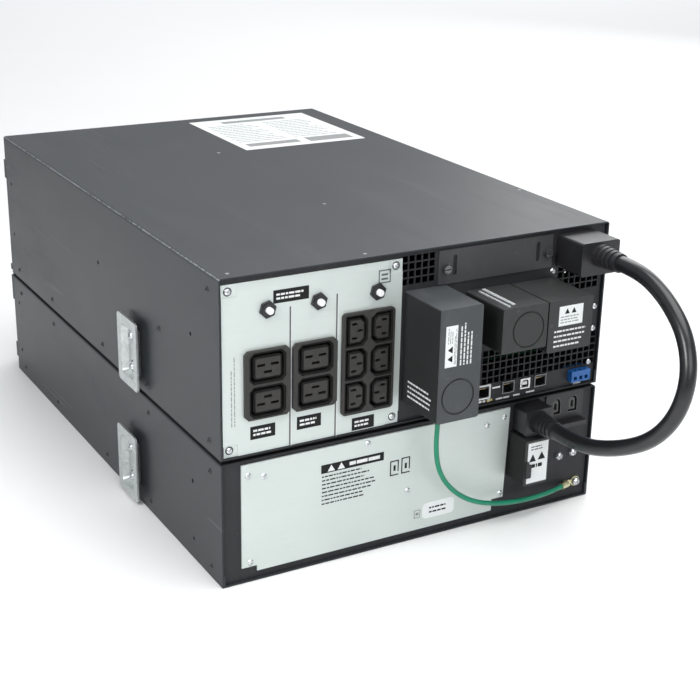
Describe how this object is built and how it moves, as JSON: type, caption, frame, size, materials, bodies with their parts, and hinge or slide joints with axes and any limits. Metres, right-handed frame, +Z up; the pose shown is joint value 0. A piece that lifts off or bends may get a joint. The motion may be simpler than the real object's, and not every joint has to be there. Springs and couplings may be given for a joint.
{
  "type": "rackmount ups",
  "caption": "Two-part rackmount UPS: power module over battery module, bright outlet panel, boxed terminals and a looped battery cable.",
  "frame": {"origin": "under the middle of the object without its cords, on the surface it stands on", "axes": "+Z up, +Y towards the rear panels with the outlets, +X towards the left side as seen from behind"},
  "size_m": [0.45, 0.8651, 0.306],
  "materials": {
    "black_powder_coat": "semi-gloss black powder coat on steel",
    "zinc_plate": "satin zinc-plated steel",
    "galvanised": "galvanised steel",
    "bright_screw": "bright zinc screws",
    "black_screw": "black oxide screws",
    "outlet_plastic": "moulded dark grey plastic",
    "button_white": "white moulded plastic",
    "contact_brass": "brass spring contacts",
    "black_plastic": "moulded black plastic",
    "bezel_plastic": "fine-textured black plastic",
    "cable_rubber": "black cable jacket",
    "wire_green": "green insulation",
    "tin_plate": "tinned copper",
    "epo_blue": "blue moulded plastic",
    "fan_plastic": "black fan plastic",
    "board_green": "green solder mask",
    "aluminium_sink": "extruded aluminium",
    "ferrite": "copper-wound ferrite",
    "capacitor_sleeve": "dark sleeve",
    "battery_case": "battery case plastic",
    "tray_steel": "galvanised steel",
    "display_glass": "dark display window",
    "key_grey": "grey keys"
  },
  "bodies": {
    "chassis": {"battery_module_cover": "black_powder_coat", "battery_module_base": "black_powder_coat", "power_module_cover": "black_powder_coat", "power_module_base": "black_powder_coat", "battery_rear_panel": "black_powder_coat", "battery_rear_plate": "zinc_plate", "link_sockets": "black_plastic", "service_cover": "black_powder_coat", "power_rear_panel": "black_powder_coat", "outlet_panel": "zinc_plate", "c19_block_left": "outlet_plastic", "c19_block_right": "outlet_plastic", "c13_block": "outlet_plastic", "outlet_contacts": "contact_brass", "breaker_bodies": "black_plastic", "card_slot_cover": "black_powder_coat", "input_cover": "black_powder_coat", "output_cover": "black_powder_coat", "bypass_cover": "black_powder_coat", "terminal_blocks": "black_plastic", "data_jacks": "black_plastic", "usb_socket": "bright_screw", "power_plug": "cable_rubber", "battery_plug": "cable_rubber", "plug_sockets": "black_plastic", "battery_cable": "cable_rubber", "ground_wire": "wire_green", "ground_lug": "tin_plate", "power_front_panel": "black_powder_coat", "fan_frames": "fan_plastic", "power_board": "board_green", "heat_sinks": "aluminium_sink", "inductors": "ferrite", "capacitors": "capacitor_sleeve", "side_brackets": "galvanised", "case_screws": "black_screw", "panel_screws": "bright_screw"},
    "battery_bezel": {"battery_bezel": "bezel_plastic"},
    "battery_tray_left": {"battery_tray_left": "tray_steel", "batteries_left": "battery_case"},
    "battery_tray_right": {"battery_tray_right": "tray_steel", "batteries_right": "battery_case"},
    "power_bezel": {"power_bezel": "bezel_plastic"},
    "display": {"display_housing": "black_plastic", "display_window": "display_glass"},
    "up_key": {"up_key": "key_grey"},
    "down_key": {"down_key": "key_grey"},
    "escape_key": {"escape_key": "key_grey"},
    "enter_key": {"enter_key": "key_grey"},
    "power_button": {"power_button": "key_grey"},
    "breaker_button_1": {"breaker_button_1": "button_white"},
    "breaker_button_2": {"breaker_button_2": "button_white"},
    "breaker_button_3": {"breaker_button_3": "button_white"},
    "card_thumbscrew_left": {"card_thumbscrew_left": "bright_screw"},
    "card_thumbscrew_right": {"card_thumbscrew_right": "bright_screw"},
    "epo_plug": {"epo_plug": "epo_blue"},
    "fan_rotor_right": {"fan_rotor_right": "fan_plastic"},
    "fan_rotor_middle": {"fan_rotor_middle": "fan_plastic"},
    "fan_rotor_left": {"fan_rotor_left": "fan_plastic"}
  },
  "joints": [
    {"name": "battery_bezel_pull", "type": "slide", "parent": "chassis", "child": "battery_bezel", "axis": [0, -1, 0], "range_m": [0, 0.4]},
    {"name": "battery_tray_left_slide", "type": "slide", "parent": "chassis", "child": "battery_tray_left", "axis": [0, -1, 0], "range_m": [0, 0.36]},
    {"name": "battery_tray_right_slide", "type": "slide", "parent": "chassis", "child": "battery_tray_right", "axis": [0, -1, 0], "range_m": [0, 0.36]},
    {"name": "power_bezel_pull", "type": "slide", "parent": "chassis", "child": "power_bezel", "axis": [0, -1, 0], "range_m": [0, 0.06]},
    {"name": "display_tilt", "type": "hinge", "parent": "power_bezel", "child": "display", "pos_m": [0, -0.358, 0.244], "axis": [-1, 0, 0], "range_deg": [0, 45]},
    {"name": "up_key_press", "type": "slide", "parent": "display", "child": "up_key", "axis": [0, 1, 0], "range_m": [0, 0.001], "stiffness_N_per_m": 400},
    {"name": "down_key_press", "type": "slide", "parent": "display", "child": "down_key", "axis": [0, 1, 0], "range_m": [0, 0.001], "stiffness_N_per_m": 400},
    {"name": "escape_key_press", "type": "slide", "parent": "display", "child": "escape_key", "axis": [0, 1, 0], "range_m": [0, 0.001], "stiffness_N_per_m": 400},
    {"name": "enter_key_press", "type": "slide", "parent": "display", "child": "enter_key", "axis": [0, 1, 0], "range_m": [0, 0.001], "stiffness_N_per_m": 400},
    {"name": "power_button_press", "type": "slide", "parent": "power_bezel", "child": "power_button", "axis": [0, 1, 0], "range_m": [0, 0.0015], "stiffness_N_per_m": 500},
    {"name": "breaker_1_trip", "type": "slide", "parent": "chassis", "child": "breaker_button_1", "axis": [0, 1, 0], "range_m": [0, 0.005]},
    {"name": "breaker_2_trip", "type": "slide", "parent": "chassis", "child": "breaker_button_2", "axis": [0, 1, 0], "range_m": [0, 0.005]},
    {"name": "breaker_3_trip", "type": "slide", "parent": "chassis", "child": "breaker_button_3", "axis": [0, 1, 0], "range_m": [0, 0.005]},
    {"name": "card_thumbscrew_left_turn", "type": "hinge", "parent": "chassis", "child": "card_thumbscrew_left", "pos_m": [-0.0205, 0.3045, 0.283], "axis": [0, 1, 0], "continuous": true},
    {"name": "card_thumbscrew_right_turn", "type": "hinge", "parent": "chassis", "child": "card_thumbscrew_right", "pos_m": [-0.14, 0.3045, 0.283], "axis": [0, 1, 0], "continuous": true},
    {"name": "epo_plug_pull", "type": "slide", "parent": "chassis", "child": "epo_plug", "axis": [0, 1, 0], "range_m": [0, 0.014]},
    {"name": "fan_right_spin", "type": "hinge", "parent": "chassis", "child": "fan_rotor_right", "pos_m": [-0.127, -0.3115, 0.218], "axis": [0, -1, 0], "continuous": true},
    {"name": "fan_middle_spin", "type": "hinge", "parent": "chassis", "child": "fan_rotor_middle", "pos_m": [0, -0.3115, 0.218], "axis": [0, -1, 0], "continuous": true},
    {"name": "fan_left_spin", "type": "hinge", "parent": "chassis", "child": "fan_rotor_left", "pos_m": [0.127, -0.3115, 0.218], "axis": [0, -1, 0], "continuous": true}
  ],
  "couplings": [
    {"joint": "battery_tray_left_slide", "follows": "battery_bezel_pull", "ratio": 0.9},
    {"joint": "battery_tray_right_slide", "follows": "battery_bezel_pull", "ratio": 0.9}
  ]
}
